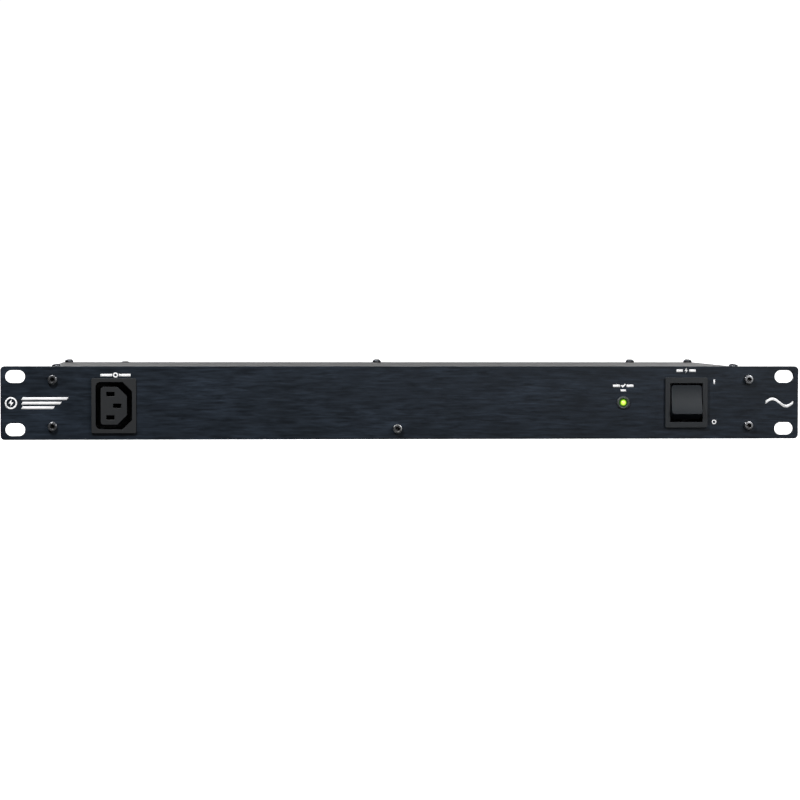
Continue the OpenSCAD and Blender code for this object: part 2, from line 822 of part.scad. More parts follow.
module switch_housing() {
    half = switch_body / 2;
    color([0.14, 0.14, 0.15]) on_front(switch_x) difference() {
        union() {
            upright(-bezel_t, bezel_t) polygon(rounded_points(bezel_w, bezel_h, 1));
            box([-half[0], -0.5, -half[1]], [half[0], switch_body_d, half[1]]);
            for (s = [0, 180]) rotate([0, s, 0]) translate([0, panel_t + 0.1, half[1]])
                rotate([0, -90, 0]) latch(latch_w);
        }
        difference() {
            box([-well_w / 2, -bezel_t - 1, -well_h / 2], [well_w / 2, switch_floor, well_h / 2]);
            box([-0.5, 11, -well_h / 2 - 1], [0.5, switch_floor + 1, well_h / 2 + 1]);
        }
        translate([-half[0] - 1, rocker_pivot_y, 0]) rotate([0, 90, 0])
            cylinder(r = pivot_hole_r, h = switch_body[0] + 2);
        for (sx = [-1, 1]) for (z = [0, -contact_z]) translate([sx * pole_x, 0, z])
            box([-2.5, switch_floor - 1, -0.5], [2.5, switch_body_d + 1, 0.5]);
    }
}

module switch_rocker() {
    color([0.2, 0.21, 0.23]) rocker_pose() {
        difference() {
            union() {
                difference() {
                    across(rocker_w) polygon(rocker_profile);
                    across(rocker_w - 2 * rocker_wall) polygon(rocker_hollow);
                }
                for (sx = [-1, 1]) translate([sx * pole_x, 0, 0]) rod_y(barrel_r, -6.6, 5.5);
                both_sides() translate([rocker_w / 2 - rocker_wall, 0, 0]) rotate([0, 90, 0])
                    cylinder(r = pivot_r, h = boss_reach - rocker_w / 2 + rocker_wall);
            }
            for (sx = [-1, 1]) translate([sx * pole_x, 0, 0]) rod_y(barrel_bore_r, -4.4, 6);
        }
    }
}

module switch_plungers() {
    color("ivory") rocker_pose() for (sx = [-1, 1]) translate([sx * pole_x, 0, 0])
        turned_y([[0, 2.7], [plunger_r, 2.7], [plunger_r, 8.2], [1, 8.8], [0.5, 9.1], [0, 9.15]]);
}

module switch_springs() {
    color("silver") rocker_pose() for (sx = [-1, 1]) translate([sx * pole_x, 0, 0])
        tube(coil(1.05, -4.1, 2.4, 5, 10), 0.2, 6, [0, 1, 0.01]);
}

// Both contact levers, tipped towards the closed contacts.
module switch_levers() {
    color("goldenrod") for (sx = [-1, 1])
        on_front(switch_x + sx * pole_x) translate([0, lever_pivot_y, 0]) rotate([lever_swing / 2, 0, 0]) {
            across(lever_w) polygon(lever_profile);
            translate([-lever_w / 2, 0, 0]) rotate([0, 90, 0]) cylinder(r = lever_knuckle_r, h = lever_w);
            translate([0, 0, -contact_z]) rod_y(1.4, -lever_rise - 0.1, 0.3);
        }
}

module switch_terminals() {
    color("goldenrod") for (sx = [-1, 1]) on_front(switch_x + sx * pole_x) {
        box([-2.4, 14.6, -0.4], [2.4, switch_tab_end, 0.4]);
        translate([0, 0, -contact_z]) {
            box([-2.4, 16, -0.4], [2.4, switch_tab_end, 0.4]);
            rod_y(1.5, 15.7, 16.4);
        }
    }
}

// ---------------------------------------------------------------- lamp

lamp_r = 2.5;
lamp_sleeve_r = 3.2;

module lamp_bezel() {
    rim = lamp_bezel_d / 2;
    color([0.12, 0.12, 0.13]) on_front(lamp_x) turned_y([
        [lamp_r + 0.4, -1.5], [rim - 0.7, -1.5], [rim - 0.2, -1.1], [rim, -0.4], [rim, 0],
        [lamp_sleeve_r, 0], [lamp_sleeve_r, 6], [lamp_r + 0.05, 6], [lamp_r + 0.05, -0.6]
    ]);
}

module lamp() {
    color([0.6, 0.95, 0.25]) on_front(lamp_x) turned_y(concat(
        [for (k = [0:6]) let (a = 15 * k) [lamp_r * sin(a), 1.4 - lamp_r * cos(a)]],
        [[lamp_r, 6.05], [2.9, 6.05], [2.9, 7.1], [0, 7.1]]
    ));
}

module lamp_clip() {
    color([0.12, 0.12, 0.13]) on_front(lamp_x) turned_y([
        [lamp_sleeve_r + 0.05, panel_t], [4.6, panel_t], [4.2, 5.4], [lamp_sleeve_r + 0.05, 5.4]
    ]);
}

// ---------------------------------------------------------------- filter board

module at_board_corners() {
    half_w = board_w / 2 - standoff_inset;
    half_d = board_d / 2 - standoff_inset;
    for (sx = [-1, 1]) for (sy = [-1, 1])
        translate([board_x + sx * half_w, board_y + sy * half_d, 0]) children();
}

module filter_board() {
    color([0.1, 0.35, 0.2]) translate([0, 0, board_top - board_t]) difference() {
        translate([board_x - board_w / 2, board_y - board_d / 2, 0]) cube([board_w, board_d, board_t]);
        translate([0, 0, -1]) at_board_corners() cylinder(r = screw_hole_r, h = board_t + 2);
    }
}

module board_standoffs() {
    color("silver") at_board_corners() translate([0, 0, floor_z]) difference() {
        cylinder(r = 5.5 / 2 / cos(30), h = standoff_h, $fn = 6);
        translate([0, 0, 0.6]) cylinder(r = nut_bore_r, h = standoff_h);
    }
}

module board_screws() {
    color("silver") at_board_corners() translate([0, 0, board_top]) pan_screw(6);
}

// Three discs on edge, on their wire legs.
module varistors() {
    r = 9;
    z = board_top + 2.5 + r;
    color([0.15, 0.3, 0.65]) for (k = [0:2]) translate([board_x - 50 + 13 * k, board_y - 22, z]) {
        translate([-2.4, 0, 0]) rotate([0, 90, 0]) cylinder(r = r, h = 4.8);
        for (s = [-1, 1]) translate([s * 1.2, s * 3.8, -r - 2.5]) cylinder(r = 0.45, h = 5, $fn = 16);
    }
}

module filter_capacitors() {
    color([0.85, 0.75, 0.2]) for (p = [[board_x - 40, board_y + 20, 26], [board_x + 40, board_y - 16, 32]])
        translate([p[0] - p[2] / 2, p[1] - 6, board_top]) cube([p[2], 12, 20]);
}

module choke_core() {
    color([0.25, 0.3, 0.27]) translate([choke_place[0], choke_place[1], choke_z])
        rotate_extrude() translate([choke_ring_r, 0]) circle(choke_core_r);
}

// Two windings of separate turns, on opposite sides of the ring.
module choke_windings() {
    turns = 9;
    color("peru") translate([choke_place[0], choke_place[1], choke_z])
        for (side = [0, 180]) for (k = [0:turns - 1])
            rotate(side + 18 * (k - (turns - 1) / 2)) translate([choke_ring_r, 0, 0]) rotate([90, 0, 0])
                rotate_extrude() translate([choke_turn_r, 0]) circle(choke_wire_r, $fn = 16);
}

// Places of the board's tabs: live in, neutral in, live out, neutral out.
board_tab_places = [
    [board_x + 58, board_y - 28], [board_x + 58, board_y + 4],
    [board_x + 22, board_y + 37], [board_x - 8, board_y + 37]
];

module board_tabs() {
    color("silver") for (p = board_tab_places)
        translate([p[0] - 0.4, p[1] - 2.4, board_top]) cube([0.8, 4.8, board_tab_h]);
}

// Clinched stud with two nuts, one below and one above its ring terminals.
module earth_stud() {
    color("silver") translate([earth_stud_place[0], earth_stud_place[1], floor_z]) {
        cylinder(r = stud_r, h = 12);
        for (z = [2, 6.9]) translate([0, 0, z]) difference() {
            cylinder(r = 7 / 2 / cos(30), h = 3, $fn = 6);
            translate([0, 0, -1]) cylinder(r = stud_r + 0.06, h = 5);
        }
    }
}

// Crimp terminal on the stud, its barrel towards +X.
module ring_terminal() {
    difference() {
        union() {
            cylinder(r = 4, h = ring_t);
            translate([0, -1.5, 0]) cube([ring_reach - 4, 3, ring_t]);
            translate([ring_reach - 5, 0, ring_t / 2]) rotate([0, 90, 0]) cylinder(r = 2, h = 5);
        }
        translate([0, 0, -1]) cylinder(r = stud_r + 0.06, h = 3);
    }
}

module ring_terminals() {
    color("silver") translate([earth_stud_place[0], earth_stud_place[1], floor_z]) {
        translate([0, 0, ring_z[0]]) rotate(180) ring_terminal();
        translate([0, 0, ring_z[1]]) rotate(90) ring_terminal();
    }
}

// ---------------------------------------------------------------- wiring

// Ends of the tabs that take a sleeve.
front_outlet_tabs = [
    for (p = contact_places) [front_outlet_x + p[0], front_y + tab_end_y, front_outlet_z + p[1]]
];
switch_tabs = [
    for (z = [0, -contact_z]) for (sx = [-1, 1]) [switch_x + sx * pole_x, front_y + switch_tab_end, z]
];
inlet_tabs = [
    [inlet_x + pin_pitch / 2, chassis_d - inlet_tab_end, inlet_pin_z],
    [inlet_x - pin_pitch / 2, chassis_d - inlet_tab_end, inlet_pin_z],
    [inlet_x, chassis_d - inlet_tab_end, -inlet_pin_z]
];
breaker_tabs = [
    for (s = [1, -1]) [breaker_x + s * breaker_tab_x, chassis_d - breaker_tab_end, 0]
];
board_tab_ends = [for (p = board_tab_places) [p[0], p[1], board_top + board_tab_h]];

// Insulating sleeve on a tab that ends at the origin and points along +Y. A flat tab lies in X.
module tab_sleeve(flat) {
    wide = sleeve_size[0] / 2;
    thin = sleeve_size[1] / 2;
    rotate([0, flat ? 0 : 90, 0]) difference() {
        box([-wide, -sleeve_cover, -thin], [wide, sleeve_reach, thin]);
        box([-2.8, -sleeve_cover - 1, -1], [2.8, 0.2, 1]);
    }
}

module terminal_sleeves() {
    color("red") {
        for (p = concat(front_outlet_tabs, switch_tabs)) translate(p) tab_sleeve(true);
        for (p = concat(inlet_tabs, breaker_tabs)) translate(p) rotate([0, 0, 180]) tab_sleeve(false);
        for (p = board_tab_ends) translate(p) rotate([90, 0, 0]) tab_sleeve(false);
    }
}

// Where a wire leaves the sleeve on a tab.
function front_exit(p) = p + [0, sleeve_reach + wire_gap, 0];
function rear_exit(p) = p - [0, sleeve_reach + wire_gap, 0];
function board_exit(p) = p + [0, 0, sleeve_reach + wire_gap];

// Where a wire meets a bar, at the bar's inlet end or at its far end.
bar_face_y = chassis_d - tab_end_y - bar_t - wire_gap;
function bar_start(which) =
    [rear_outlet_x(1) - contact_places[which][0] + 5, bar_face_y, contact_places[which][1]];
function bar_end(which) =
    [rear_outlet_x(rear_outlets) - contact_places[which][0] - 4, bar_face_y, contact_places[which][1]];

// A wire through its points. Its ends run straight for a short way.
module wire(points, r = wire_r) {
    tube(smooth(points, 4), r);
}

// A wire from the far end of a bar to the same contact of the front outlet.
module front_outlet_wire(which) {
    from = bar_end(which);
    to = front_exit(front_outlet_tabs[which]);
    wire([from, from - [0, 10, 0], [-192, 140, from[2]], [-196, 100, from[2] - 1],
        [-190, 65, to[2]], to + [-3, 20, 0], to + [0, 8, 0], to]);
}

module live_wires() {
    inlet = rear_exit(inlet_tabs[0]);
    breaker_in = rear_exit(breaker_tabs[0]);
    breaker_out = rear_exit(breaker_tabs[1]);
    switch_in = front_exit(switch_tabs[0]);
    switch_out = front_exit(switch_tabs[2]);
    board_in = board_exit(board_tab_ends[0]);
    board_out = board_exit(board_tab_ends[2]);
    color("saddlebrown") {
        wire([inlet, inlet - [0, 10, 0], [179, 149, -2], [162, 143, -1], [146, 145, 0],
            breaker_in - [0, 8, 0], breaker_in]);
        wire([breaker_out, breaker_out - [0, 9, 0], [138, 137, 0], [150, 130, 0], [160, 116, 0],
            [165, 95, 0], [166, 65, 0], switch_in + [0, 10, 0], switch_in]);
        wire([switch_out, switch_out + [-0.4, 6, 0], [161, 46, -3], [155, 56, 5], [151, 64, 10.5],
            board_in + [0, 0, 5], board_in]);
        wire([board_out, board_out + [0, 0, 5], [114.5, 140, 12], [116, 152, 10],
            bar_start(0) - [0, 10, 0], bar_start(0)]);
        front_outlet_wire(0);
    }
}

module neutral_wires() {
    inlet = rear_exit(inlet_tabs[1]);
    switch_in = front_exit(switch_tabs[1]);
    switch_out = front_exit(switch_tabs[3]);
    board_in = board_exit(board_tab_ends[1]);
    board_out = board_exit(board_tab_ends[3]);
    color("steelblue") {
        wire([inlet, inlet - [0, 9, 0], [174, 149, -9], [181, 130, -9], [184, 100, -6], [181, 65, -2],
            switch_in + [0, 10, 0], switch_in]);
        wire([switch_out, switch_out + [0, 9, 0], [174, 57, -9], [168, 75, -9], [160, 88, -5], [154, 96, 4],
            board_in + [0, 0, 5.5], board_in]);
        wire([board_out, board_out + [0, 0, 5], [88, 142, 9], [98, 150, 1], [109, 157, -6],
            bar_start(1) - [0, 9, 0], bar_start(1)]);
        front_outlet_wire(1);
    }
}

module earth_wires() {
    inlet = rear_exit(inlet_tabs[2]);
    stud = [earth_stud_place[0], earth_stud_place[1], floor_z + ring_t / 2];
    upper = stud + [0, ring_reach + wire_gap, ring_z[1]];
    lower = stud + [-ring_reach - wire_gap, 0, ring_z[0]];
    color("olivedrab") {
        wire([inlet, inlet - [0, 7, 0], [184, 158, 4], [192, 153, 0], [196, 149, -8],
            upper + [0, 4, 0], upper]);
        wire([lower, lower - [5, 0, 0], [172, 132, -15], [163, 146, -15], [149, 156, -14], [130, 161, -8],
            [117, 163, -2], bar_start(2) - [0, 8, 0], bar_start(2)]);
        front_outlet_wire(2);
    }
}

module lamp_leads() {
    start = [lamp_x, front_y + 7.1 + wire_gap, 0];
    color("gray") for (s = [-1, 1]) {
        from = start + [s * 1.27, 0, 0];
        to = [lamp_x - 8 + s * 2.5, board_y - board_d / 2 + 8, board_top + wire_gap];
        wire([from, from + [0, 8, 0], [lamp_x - 4 + s * 2, 30, -3],
            to + [0, -9, 7], to + [0, 0, 5], to], lead_r);
    }
}

// ---------------------------------------------------------------- assembly

front_panel();
panel_legend();
chassis_base();
rear_panel();
top_cover();
panel_side_screws();
panel_lower_screw();
chassis_screws();
cover_low_head_screw();
clinch_nuts();
front_outlet();
front_outlet_contacts();
for (i = [1:rear_outlets]) rear_outlet(i);
rear_contacts(0);  // rear_live_contacts
rear_contacts(1);  // rear_neutral_contacts
rear_contacts(2);  // rear_earth_contacts
busbar(0);  // live_busbar
busbar(1);  // neutral_busbar
busbar(2);  // earth_busbar
inlet_housing();
inlet_pins();
inlet_screws();
breaker_body();
breaker_nut();
breaker_button();
breaker_spring();
breaker_terminals();
switch_housing();
switch_rocker();
switch_plungers();
switch_springs();
switch_levers();
switch_terminals();
lamp_bezel();
lamp();
lamp_clip();
filter_board();
board_standoffs();
board_screws();
varistors();
filter_capacitors();
choke_core();
choke_windings();
board_tabs();
earth_stud();
ring_terminals();
terminal_sleeves();
live_wires();
neutral_wires();
earth_wires();
lamp_leads();
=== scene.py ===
"""A one-unit rack power strip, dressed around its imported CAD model.

Everything is in metres: +X is right seen from the front, +Y goes into the rack and +Z is up.
"""

import json
import math

import bmesh
import bpy
from mathutils import Matrix, Vector

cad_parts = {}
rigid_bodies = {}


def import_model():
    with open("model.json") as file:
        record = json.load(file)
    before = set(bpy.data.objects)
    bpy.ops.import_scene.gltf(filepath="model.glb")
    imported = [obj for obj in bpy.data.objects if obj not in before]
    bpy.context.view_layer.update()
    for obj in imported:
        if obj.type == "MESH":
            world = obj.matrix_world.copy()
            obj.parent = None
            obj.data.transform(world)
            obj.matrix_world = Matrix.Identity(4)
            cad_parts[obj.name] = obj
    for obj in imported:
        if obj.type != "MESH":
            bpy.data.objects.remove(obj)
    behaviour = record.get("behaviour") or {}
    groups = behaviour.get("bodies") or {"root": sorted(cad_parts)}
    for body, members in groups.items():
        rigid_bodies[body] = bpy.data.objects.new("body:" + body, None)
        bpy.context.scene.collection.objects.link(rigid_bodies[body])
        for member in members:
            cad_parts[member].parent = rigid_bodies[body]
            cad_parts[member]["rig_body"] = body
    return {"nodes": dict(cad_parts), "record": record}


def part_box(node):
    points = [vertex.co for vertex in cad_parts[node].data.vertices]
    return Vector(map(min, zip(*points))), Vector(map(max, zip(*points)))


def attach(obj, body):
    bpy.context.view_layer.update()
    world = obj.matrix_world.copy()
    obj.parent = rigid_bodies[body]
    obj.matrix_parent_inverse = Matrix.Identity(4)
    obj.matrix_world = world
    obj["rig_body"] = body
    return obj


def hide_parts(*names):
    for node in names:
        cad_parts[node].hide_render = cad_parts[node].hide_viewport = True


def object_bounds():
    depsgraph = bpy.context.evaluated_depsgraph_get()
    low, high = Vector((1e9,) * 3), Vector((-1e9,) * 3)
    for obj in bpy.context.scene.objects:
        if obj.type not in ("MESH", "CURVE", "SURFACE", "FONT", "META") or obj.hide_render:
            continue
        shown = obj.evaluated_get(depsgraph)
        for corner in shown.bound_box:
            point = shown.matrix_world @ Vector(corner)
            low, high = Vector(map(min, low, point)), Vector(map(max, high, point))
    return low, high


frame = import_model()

cad_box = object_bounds()

MM = 0.001
TURN = 2 * math.pi
NODES = frame["nodes"]
SLOT_OF = {part["node"]: part["material_slot"] for part in frame["record"]["subparts"]}
HEAD_SEGMENTS = 48
# How far the painted shade in screw sockets and slots looks for nearby surfaces.
RECESS_REACH = 2.5 * MM


# ---------------------------------------------------------------- shader helpers


def new_material(name, colour, roughness, metallic=0.0, specular=0.5, coat=0.0, coat_roughness=0.1):
    """A Principled material. What is the same all over sits on the shader's own sockets."""
    mat = bpy.data.materials.new(name)
    mat.use_nodes = True
    shader = mat.node_tree.nodes["Principled BSDF"]
    shader.inputs["Base Color"].default_value = (*colour, 1.0)
    shader.inputs["Roughness"].default_value = roughness
    shader.inputs["Metallic"].default_value = metallic
    shader.inputs["Specular IOR Level"].default_value = specular
    shader.inputs["Coat Weight"].default_value = coat
    shader.inputs["Coat Roughness"].default_value = coat_roughness
    return mat


def add(mat, kind, **values):
    """A new node with its settings and its unlinked inputs filled in. A _ stands for a space in a name."""
    made = mat.node_tree.nodes.new(kind)
    for key, value in values.items():
        if hasattr(made, key):
            setattr(made, key, value)
        else:
            made.inputs[key.replace("_", " ")].default_value = value
    return made


def join(mat, out, into):
    mat.node_tree.links.new(out, into)


def shader_input(mat, name):
    return mat.node_tree.nodes["Principled BSDF"].inputs[name]


def coordinates(mat, scale):
    """Object coordinates in metres, multiplied by a scale for each axis."""
    source = add(mat, "ShaderNodeTexCoord")
    mapping = add(mat, "ShaderNodeMapping", Scale=scale)
    join(mat, source.outputs["Object"], mapping.inputs["Vector"])
    return mapping.outputs["Vector"]


def noise(mat, scale, detail=4.0, roughness=0.55, distortion=0.0):
    """Noise whose features are 1 / scale metres across, from 0 to 1."""
    made = add(mat, "ShaderNodeTexNoise", Scale=1.0, Detail=detail, Roughness=roughness)
    made.inputs["Distortion"].default_value = distortion
    join(mat, coordinates(mat, scale), made.inputs["Vector"])
    return made.outputs["Fac"]


def spread(mat, value, low, high, start=0.3, end=0.7):
    """A value from start to end, taken to low to high."""
    made = add(mat, "ShaderNodeMapRange", From_Min=start, From_Max=end, To_Min=low, To_Max=high)
    join(mat, value, made.inputs["Value"])
    return made.outputs["Result"]


# Places of the colour sockets on a Mix node that blends colours.
MIX_FACTOR = 0
MIX_FIRST = 6
MIX_SECOND = 7
MIX_RESULT = 2


def blend_colours(mat, factor, first, second):
    """From a first colour at 0 to a second at 1. The second is three numbers or another node's output."""
    made = add(mat, "ShaderNodeMix", data_type="RGBA")
    made.inputs[MIX_FIRST].default_value = (*first, 1.0)
    join(mat, factor, made.inputs[MIX_FACTOR])
    if isinstance(second, bpy.types.NodeSocket):
        join(mat, second, made.inputs[MIX_SECOND])
    else:
        made.inputs[MIX_SECOND].default_value = (*second, 1.0)
    return made.outputs[MIX_RESULT]


def multiply(mat, first, second):
    made = add(mat, "ShaderNodeMath", operation="MULTIPLY")
    join(mat, first, made.inputs[0])
    join(mat, second, made.inputs[1])
    return made.outputs[0]


def add_bump(mat, height, depth, strength=1.0):
    """Bump whose full height is depth metres."""
    made = add(mat, "ShaderNodeBump", Strength=strength, Distance=depth)
    join(mat, height, made.inputs["Height"])
    join(mat, made.outputs["Normal"], shader_input(mat, "Normal"))


# ---------------------------------------------------------------- materials


def brushed_panel():
    """Black anodised aluminium, brushed from left to right in short uneven strokes."""
    mat = new_material("brushed_black_panel", (0.014, 0.018, 0.025), 0.4, specular=0.35)
    shader_input(mat, "Anisotropic").default_value = 0.5
    hairs = noise(mat, (60, 60, 2600), detail=3.0, roughness=0.7)
    strokes = noise(mat, (70, 70, 640), detail=4.0, roughness=0.7, distortion=0.4)
    patches = noise(mat, (22, 22, 60), detail=3.0, roughness=0.6)
    brushing = multiply(mat, spread(mat, hairs, 0.35, 1.0), spread(mat, strokes, 0.1, 1.0))
    uneven = multiply(mat, brushing, spread(mat, patches, 0.45, 1.1))
    colour = blend_colours(mat, uneven, (0.004, 0.006, 0.009), (0.036, 0.052, 0.078))
    join(mat, colour, shader_input(mat, "Base Color"))
    join(mat, spread(mat, strokes, 0.34, 0.5), shader_input(mat, "Roughness"))
    add_bump(mat, brushing, 0.00003, 0.8)
    return mat


def powder_coat(name, colour, roughness=0.5):
    """Fine black powder coat: a low orange peel over a fine grain."""
    mat = new_material(name, colour, roughness, specular=0.5)
    peel = noise(mat, (900, 900, 900), detail=2.0)
    grain = noise(mat, (4200, 4200, 4200), detail=2.0)
    handling = noise(mat, (30, 30, 30), detail=5.0)
    handling_and_sheen = spread(mat, handling, roughness - 0.015, roughness + 0.02)
    join(mat, handling_and_sheen, shader_input(mat, "Roughness"))
    darker = tuple(0.8 * part for part in colour)
    speckled = blend_colours(mat, spread(mat, grain, 0.0, 1.0), darker, colour)
    join(mat, speckled, shader_input(mat, "Base Color"))
    add_bump(mat, multiply(mat, peel, grain), 0.00004, 0.7)
    return mat


def moulded(name, colour, roughness, grain_depth=0.000015, specular=0.5, grain=2600):
    """Moulded plastic with a spark-eroded grain and faint flow marks."""
    mat = new_material(name, colour, roughness, specular=specular)
    flow = noise(mat, (60, 60, 60), detail=3.0, distortion=0.6)
    texture = noise(mat, (grain, grain, grain), detail=3.0, roughness=0.65)
    lighter = tuple(min(1.0, 1.25 * part + 0.001) for part in colour)
    marbled = blend_colours(mat, spread(mat, flow, 0.0, 0.7), colour, lighter)
    join(mat, marbled, shader_input(mat, "Base Color"))
    join(mat, spread(mat, texture, roughness - 0.05, roughness + 0.07), shader_input(mat, "Roughness"))
    add_bump(mat, texture, grain_depth, 0.8)
    return mat


def plated(name, colour, roughness, scratch=(900, 900, 900), depth=0.000006, recess=0.0):
    """Metal with fine machining marks and an uneven finish, with painted shade in recesses, where other
    surfaces lie within a reach.
    """
    mat = new_material(name, colour, roughness, metallic=1.0)
    marks = noise(mat, scratch, detail=4.0, roughness=0.7)
    stain = noise(mat, (140, 140, 140), detail=3.0)
    darker = tuple(0.72 * part for part in colour)
    finish = blend_colours(mat, spread(mat, stain, 0.0, 1.0), darker, colour)
    # Painted shade: ambient occlusion darkens the colour to nearly black where other surfaces lie within
    # the reach, as in screw sockets and deep slots.
    if recess:
        openness = add(mat, "ShaderNodeAmbientOcclusion", Distance=recess, samples=6)
        lit_share = spread(mat, openness.outputs["AO"], 0.0, 1.0, start=0.35, end=0.85)
        recess_shade = tuple(0.04 * part for part in colour)
        finish = blend_colours(mat, lit_share, recess_shade, finish)
    join(mat, finish, shader_input(mat, "Base Color"))
    join(mat, spread(mat, marks, roughness - 0.07, roughness + 0.1), shader_input(mat, "Roughness"))
    add_bump(mat, marks, depth, 0.8)
    return mat


def printed_ink():
    """White screen-printed ink with faintly broken coverage and a faint painted glow."""
    mat = new_material("white_ink", (0.95, 0.95, 0.95), 0.5)
    cover = noise(mat, (2200, 2200, 2200), detail=2.0)
    whites = blend_colours(mat, spread(mat, cover, 0.0, 1.0), (0.86, 0.86, 0.87), (0.98, 0.98, 0.98))
    join(mat, whites, shader_input(mat, "Base Color"))
    # Painted light: the ink glows faintly by itself, brighter than its lighting alone makes it.
    shader_input(mat, "Emission Color").default_value = (1, 1, 1, 1)
    shader_input(mat, "Emission Strength").default_value = 0.3
    add_bump(mat, cover, 0.00001, 0.5)
    return mat


def circuit_board():
    """Green solder mask over faint square-cornered tracks."""
    mat = new_material("board_mask", (0.02, 0.12, 0.05), 0.3, specular=0.5, coat=0.3)
    tracks = add(mat, "ShaderNodeTexBrick", Scale=1.0, Mortar_Size=0.09, Brick_Width=1.0, Row_Height=0.35)
    join(mat, coordinates(mat, (90, 90, 90)), tracks.inputs["Vector"])
    colour = blend_colours(mat, tracks.outputs["Fac"], (0.014, 0.10, 0.045), (0.04, 0.2, 0.08))
    join(mat, colour, shader_input(mat, "Base Color"))
    add_bump(mat, tracks.outputs["Fac"], 0.00003, 0.5)
    return mat


def lit_lens(axis_x, axis_z, radius):
    """A lit lamp: brightest at its axis, dark green at its rim."""
    mat = new_material("lamp_lens_lit", (0.12, 0.3, 0.02), 0.12, coat=0.6, coat_roughness=0.03)
    source = add(mat, "ShaderNodeTexCoord")
    centred = add(mat, "ShaderNodeMapping", Location=(-axis_x / radius, 0, -axis_z / radius))
    centred.inputs["Scale"].default_value = (1 / radius, 0.0, 1 / radius)
    join(mat, source.outputs["Object"], centred.inputs["Vector"])
    length = add(mat, "ShaderNodeVectorMath", operation="LENGTH")
    join(mat, centred.outputs["Vector"], length.inputs[0])
    fade = add(mat, "ShaderNodeValToRGB")
    stops = fade.color_ramp.elements
    stops[0].color = (0.95, 1.0, 0.28, 1.0)
    stops[1].color = (0.004, 0.02, 0.002, 1.0)
    glow = stops.new(0.5)
    glow.color = (0.55, 0.85, 0.05, 1.0)
    rim = stops.new(0.72)
    rim.color = (0.03, 0.1, 0.008, 1.0)
    join(mat, length.outputs["Value"], fade.inputs["Fac"])
    join(mat, fade.outputs["Color"], shader_input(mat, "Emission Color"))
    shader_input(mat, "Emission Strength").default_value = 1.2
    return mat


lamp_low, lamp_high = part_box("lamp_bezel")
lamp_axis = (lamp_low + lamp_high) / 2
lamp_radius = 2.5 * MM

FINISHES = {
    "panel_black": brushed_panel(),
    "panel_ink": printed_ink(),
    "sheet_black": powder_coat("powder_coat_black", (0.02, 0.02, 0.021)),
    # Both screw finishes carry painted shade in their sockets.
    "screw_black": plated("black_oxide", (0.13, 0.135, 0.15), 0.28, recess=RECESS_REACH),
    "screw_bright": plated("bright_nickel", (0.66, 0.66, 0.66), 0.24, recess=RECESS_REACH),
    "zinc_steel": plated("zinc_plate", (0.52, 0.53, 0.54), 0.33),
    "spring_steel": plated("spring_wire", (0.45, 0.45, 0.46), 0.28),
    "outlet_plastic": moulded("outlet_thermoset", (0.0145, 0.016, 0.018), 0.5),
    "inlet_plastic": moulded("inlet_nylon", (0.012, 0.012, 0.013), 0.46),
    "switch_plastic": moulded("switch_frame", (0.0115, 0.0145, 0.018), 0.4),
    "rocker_plastic": moulded("rocker_satin", (0.0085, 0.0125, 0.017), 0.46, 0.000008, specular=0.3),
    "lamp_bezel_plastic": moulded("lamp_bezel_gloss", (0.07, 0.078, 0.078), 0.3, 0.000004),
    "lamp_lens": lit_lens(lamp_axis.x, lamp_axis.z, lamp_radius),
    # Painted shade: the brass contacts go dark deep inside the outlet slots.
    "brass": plated("stamped_brass", (0.62, 0.42, 0.16), 0.3, recess=2 * RECESS_REACH),
    "copper": plated("stamped_copper", (0.62, 0.27, 0.14), 0.32),
    "tinned_brass": plated("nickel_blades", (0.66, 0.65, 0.61), 0.22),
    "button_white": moulded("button_white", (0.72, 0.71, 0.68), 0.32, grain_depth=0.000006),
    "nylon": moulded("natural_nylon", (0.6, 0.57, 0.48), 0.45),
    "board_green": circuit_board(),
    "varistor_blue": moulded("epoxy_blue", (0.02, 0.08, 0.32), 0.28, grain=500, grain_depth=0.00006),
    "capacitor_yellow": moulded("capacitor_yellow", (0.66, 0.44, 0.03), 0.35),
    "ferrite": moulded("coated_ferrite", (0.03, 0.07, 0.04), 0.4, grain=1200, grain_depth=0.00003),
    "enamel_copper": plated("enamelled_copper", (0.5, 0.16, 0.05), 0.2),
    "sleeve_red": moulded("vinyl_red", (0.4, 0.02, 0.015), 0.32),
    "wire_brown": moulded("vinyl_brown", (0.09, 0.035, 0.015), 0.36),
    "wire_blue": moulded("vinyl_blue", (0.02, 0.09, 0.36), 0.36),
    "wire_green": moulded("vinyl_green", (0.09, 0.28, 0.03), 0.36),
    "lead_grey": moulded("vinyl_grey", (0.14, 0.145, 0.15), 0.36),
}


# ---------------------------------------------------------------- CAD nodes

# Edge radius in millimetres for the nodes that have visible hard edges.
EDGE_RADIUS = {
    "chassis_base": 0.2,
    "rear_panel": 0.15,
    "top_cover": 0.25,
    "clinch_nuts": 0.12,
    "front_outlet": 0.22,
    "inlet_housing": 0.2,
    "inlet_pins": 0.12,
    "inlet_screws": 0.08,
    "breaker_body": 0.2,
    "breaker_nut": 0.2,
    "breaker_button": 0.25,
    "breaker_terminals": 0.08,
    "switch_housing": 0.3,
    "switch_levers": 0.08,
    "switch_terminals": 0.08,
    "lamp_bezel": 0.12,
    "lamp_clip": 0.1,
    "filter_board": 0.1,
    "board_standoffs": 0.15,
    "varistors": 0.9,
    "filter_capacitors": 0.7,
    "board_tabs": 0.1,
    "earth_stud": 0.15,
    "ring_terminals": 0.1,
    "terminal_sleeves": 0.3,
}
OUTLET_EDGE = 0.22
SHARP_ANGLE = math.radians(30)
FLAT_ANGLE = math.radians(0.5)


def smooth_shading(mesh):
    """Shades the faces smoothly by their own shape, not by normals that came with the mesh."""
    if "custom_normal" in mesh.attributes:
        mesh.attributes.remove(mesh.attributes["custom_normal"])
    mesh.polygons.foreach_set("use_smooth", [True] * len(mesh.polygons))


